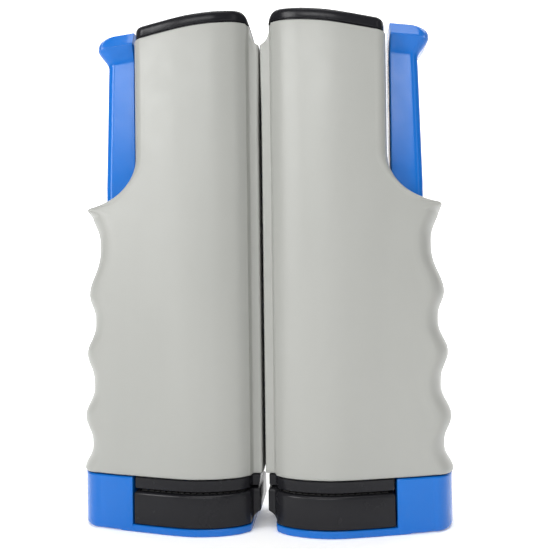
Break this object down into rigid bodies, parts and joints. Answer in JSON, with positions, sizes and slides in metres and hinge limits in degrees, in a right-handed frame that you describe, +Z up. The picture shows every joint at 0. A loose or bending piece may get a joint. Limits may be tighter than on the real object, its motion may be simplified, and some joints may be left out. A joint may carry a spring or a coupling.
{
  "type": "retractable table tennis net",
  "caption": "Portable table tennis net that winds into two spring-clamp posts; sliding jaws grip the table's edge and the posts pull apart across the table.",
  "frame": {"origin": "middle of the base, on the seam between the two posts, at the underside of the feet", "axes": "+Z up the posts, +X from the left post to the right post along the net, -Y towards the front of the posts"},
  "size_m": [0.1324, 0.0432, 0.1788],
  "materials": {
    "housing": "satin moulded light grey",
    "slider": "semi-gloss moulded blue",
    "black_plastic": "satin moulded black",
    "pad_rubber": "matte black rubber",
    "steel": "bright drawn wire and turned steel",
    "reel_plastic": "plain moulded off-white",
    "net": "knotted polyester mesh with a woven top tape"
  },
  "bodies": {
    "left_post": {"front_shell_left": "housing", "rear_shell_left": "housing", "top_cap_left": "black_plastic", "upper_jaw_left": "black_plastic", "upper_pad_left": "pad_rubber", "spring_seat_left": "black_plastic", "spring_guide_rod_left": "steel", "reel_shaft_left": "steel", "clamp_spring_left": "steel", "housing_screw_1_left": "steel", "housing_screw_2_left": "steel", "housing_screw_3_left": "steel", "net_span": "net"},
    "right_post": {"front_shell_right": "housing", "rear_shell_right": "housing", "top_cap_right": "black_plastic", "upper_jaw_right": "black_plastic", "upper_pad_right": "pad_rubber", "spring_seat_right": "black_plastic", "spring_guide_rod_right": "steel", "reel_shaft_right": "steel", "clamp_spring_right": "steel", "housing_screw_1_right": "steel", "housing_screw_2_right": "steel", "housing_screw_3_right": "steel"},
    "slider_left": {"clamp_slider_left": "slider", "lower_jaw_left": "black_plastic", "lower_pad_left": "pad_rubber", "foot_screw_1_left": "steel", "foot_screw_2_left": "steel"},
    "reel_left": {"reel_tube_left": "reel_plastic", "reel_lower_plug_left": "reel_plastic", "reel_upper_plug_left": "reel_plastic", "reel_spring_left": "steel", "net_roll_left": "net"},
    "slider_right": {"clamp_slider_right": "slider", "lower_jaw_right": "black_plastic", "lower_pad_right": "pad_rubber", "foot_screw_1_right": "steel", "foot_screw_2_right": "steel"},
    "reel_right": {"reel_tube_right": "reel_plastic", "reel_lower_plug_right": "reel_plastic", "reel_upper_plug_right": "reel_plastic", "reel_spring_right": "steel", "net_roll_right": "net"}
  },
  "joints": [
    {"name": "net_pull", "type": "slide", "parent": "left_post", "child": "right_post", "axis": [1, 0, 0], "range_m": [0, 1.66], "stiffness_N_per_m": 2.35, "springref_m": -1.7, "deforming": ["net_span"]},
    {"name": "clamp_left", "type": "slide", "parent": "left_post", "child": "slider_left", "axis": [0, 0, -1], "range_m": [0, 0.036], "stiffness_N_per_m": 450, "springref_m": -0.03, "deforming": ["clamp_spring_left"]},
    {"name": "clamp_right", "type": "slide", "parent": "right_post", "child": "slider_right", "axis": [0, 0, -1], "range_m": [0, 0.036], "stiffness_N_per_m": 450, "springref_m": -0.03, "deforming": ["clamp_spring_right"]},
    {"name": "reel_left_spin", "type": "hinge", "parent": "left_post", "child": "reel_left", "pos_m": [-0.0235, 0, 0], "axis": [0, 0, 1], "range_deg": [-4200, 0]},
    {"name": "reel_right_spin", "type": "hinge", "parent": "right_post", "child": "reel_right", "pos_m": [0.0235, 0, 0], "axis": [0, 0, 1], "range_deg": [0, 4200]}
  ],
  "couplings": [
    {"joint": "reel_left_spin", "follows": "net_pull", "rad_per_m": -44.053},
    {"joint": "reel_right_spin", "follows": "net_pull", "rad_per_m": 44.053}
  ]
}
